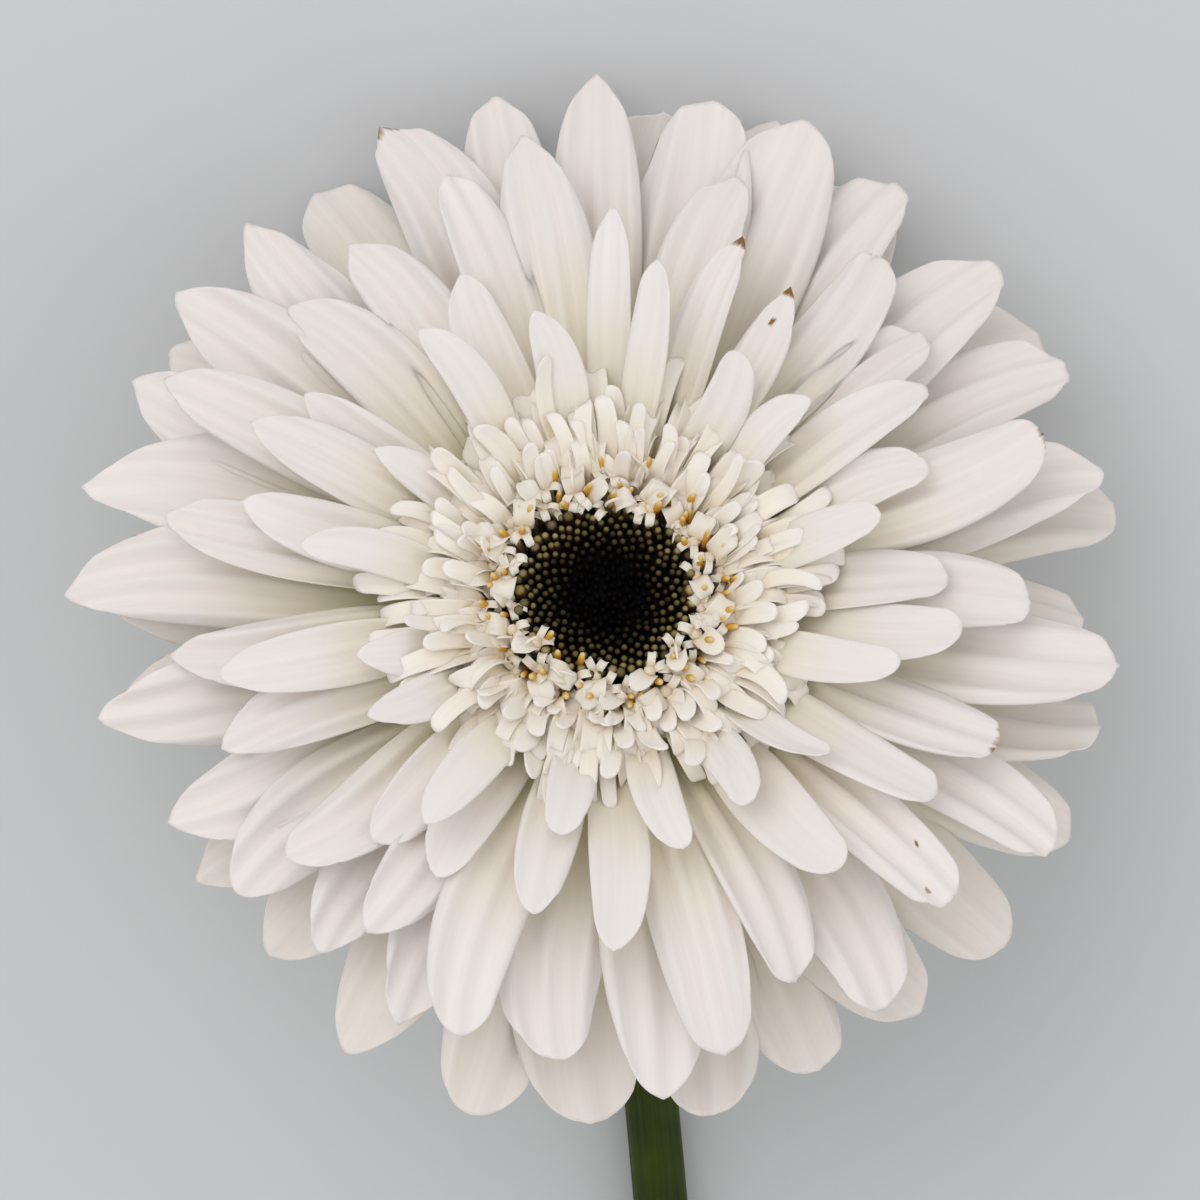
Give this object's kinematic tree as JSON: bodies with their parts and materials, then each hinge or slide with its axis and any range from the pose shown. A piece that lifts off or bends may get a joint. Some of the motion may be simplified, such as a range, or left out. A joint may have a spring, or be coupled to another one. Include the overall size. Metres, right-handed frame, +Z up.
{
  "type": "cut gerbera",
  "caption": "Cut semi-double gerbera lying face up: a leafless bent stem, green bracts and layered white ray florets around a dark eye.",
  "frame": {"origin": "middle of the flower's footprint, on the surface it lies on", "axes": "+Y from the stem's cut end towards the flower head, +Z up out of the surface; the head faces up and leans towards +Y"},
  "size_m": [0.1154, 0.4566, 0.0643],
  "materials": {
    "ray_white": "satin, slightly translucent petal",
    "floret_white": "satin, translucent petal",
    "disc_cream": "satin petal with pollen",
    "bud_dark": "matt",
    "bract_green": "matt, finely hairy",
    "stem_green": "satin, finely hairy"
  },
  "bodies": {
    "root": {"back_ray_01": "ray_white", "back_ray_02": "ray_white", "back_ray_03": "ray_white", "back_ray_04": "ray_white", "back_ray_05": "ray_white", "back_ray_06": "ray_white", "back_ray_07": "ray_white", "back_ray_08": "ray_white", "back_ray_09": "ray_white", "back_ray_10": "ray_white", "back_ray_11": "ray_white", "back_ray_12": "ray_white", "back_ray_13": "ray_white", "back_ray_14": "ray_white", "back_ray_15": "ray_white", "back_ray_16": "ray_white", "back_ray_17": "ray_white", "back_ray_18": "ray_white", "back_ray_19": "ray_white", "back_ray_20": "ray_white", "back_ray_21": "ray_white", "back_ray_22": "ray_white", "back_ray_23": "ray_white", "front_ray_01": "ray_white", "front_ray_02": "ray_white", "front_ray_03": "ray_white", "front_ray_04": "ray_white", "front_ray_05": "ray_white", "front_ray_06": "ray_white", "front_ray_07": "ray_white", "front_ray_08": "ray_white", "front_ray_09": "ray_white", "front_ray_10": "ray_white", "front_ray_11": "ray_white", "front_ray_12": "ray_white", "front_ray_13": "ray_white", "front_ray_14": "ray_white", "front_ray_15": "ray_white", "front_ray_16": "ray_white", "front_ray_17": "ray_white", "front_ray_18": "ray_white", "front_ray_19": "ray_white", "front_ray_20": "ray_white", "front_ray_21": "ray_white", "front_ray_22": "ray_white", "front_ray_23": "ray_white", "front_ray_24": "ray_white", "middle_rays": "ray_white", "inner_rays": "ray_white", "short_rays": "ray_white", "trans_florets_outer": "floret_white", "trans_florets_inner": "floret_white", "disc_florets": "disc_cream", "disc_buds": "bud_dark", "receptacle": "bract_green", "inner_bracts": "bract_green", "outer_bracts": "bract_green", "stem": "stem_green"}
  },
  "joints": []
}
